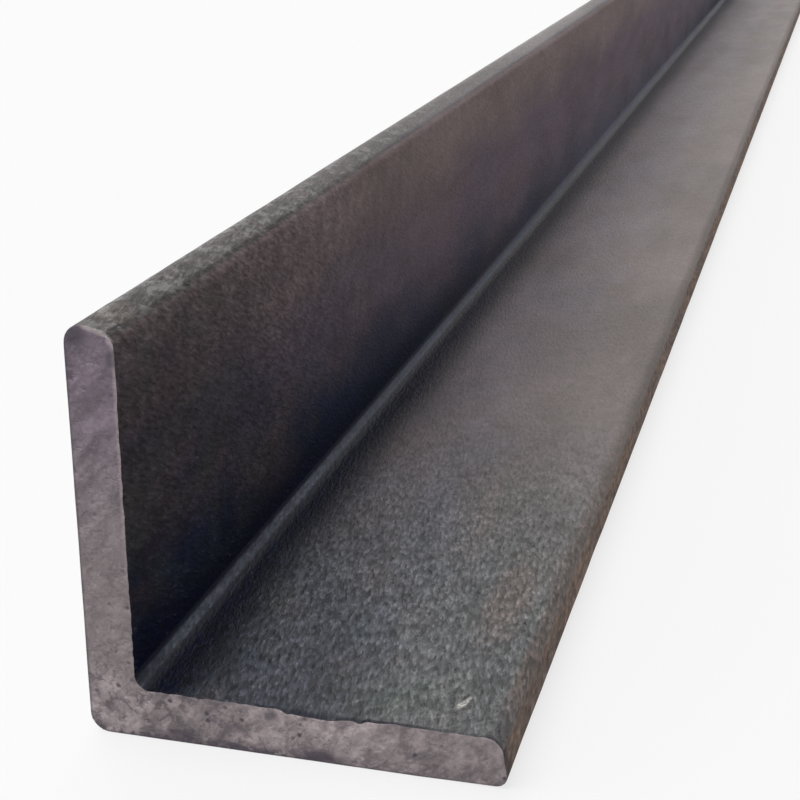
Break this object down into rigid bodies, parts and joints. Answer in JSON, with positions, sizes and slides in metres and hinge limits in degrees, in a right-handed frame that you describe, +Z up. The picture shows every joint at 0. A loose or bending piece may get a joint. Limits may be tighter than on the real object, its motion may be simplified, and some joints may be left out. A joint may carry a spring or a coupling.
{
  "type": "steel angle bar",
  "caption": "Straight equal-leg rolled steel angle bar with rounded heel, root and toes, mill-scale faces and square sawn ends.",
  "frame": {"origin": "on the underside of the flat leg, at mid-length and mid-width, where the bar rests", "axes": "+X across the flat leg from heel to toe, +Y along the bar away from the sawn end that shows, +Z up along the upright leg"},
  "size_m": [0.05, 1, 0.05],
  "materials": {
    "mill_scale_steel": "hot-rolled mill scale, matt to dull satin, blue-grey with brown rust haze; bare pinkish grey on the sawn ends"
  },
  "bodies": {
    "root": {"angle_section": "mill_scale_steel"}
  },
  "joints": []
}
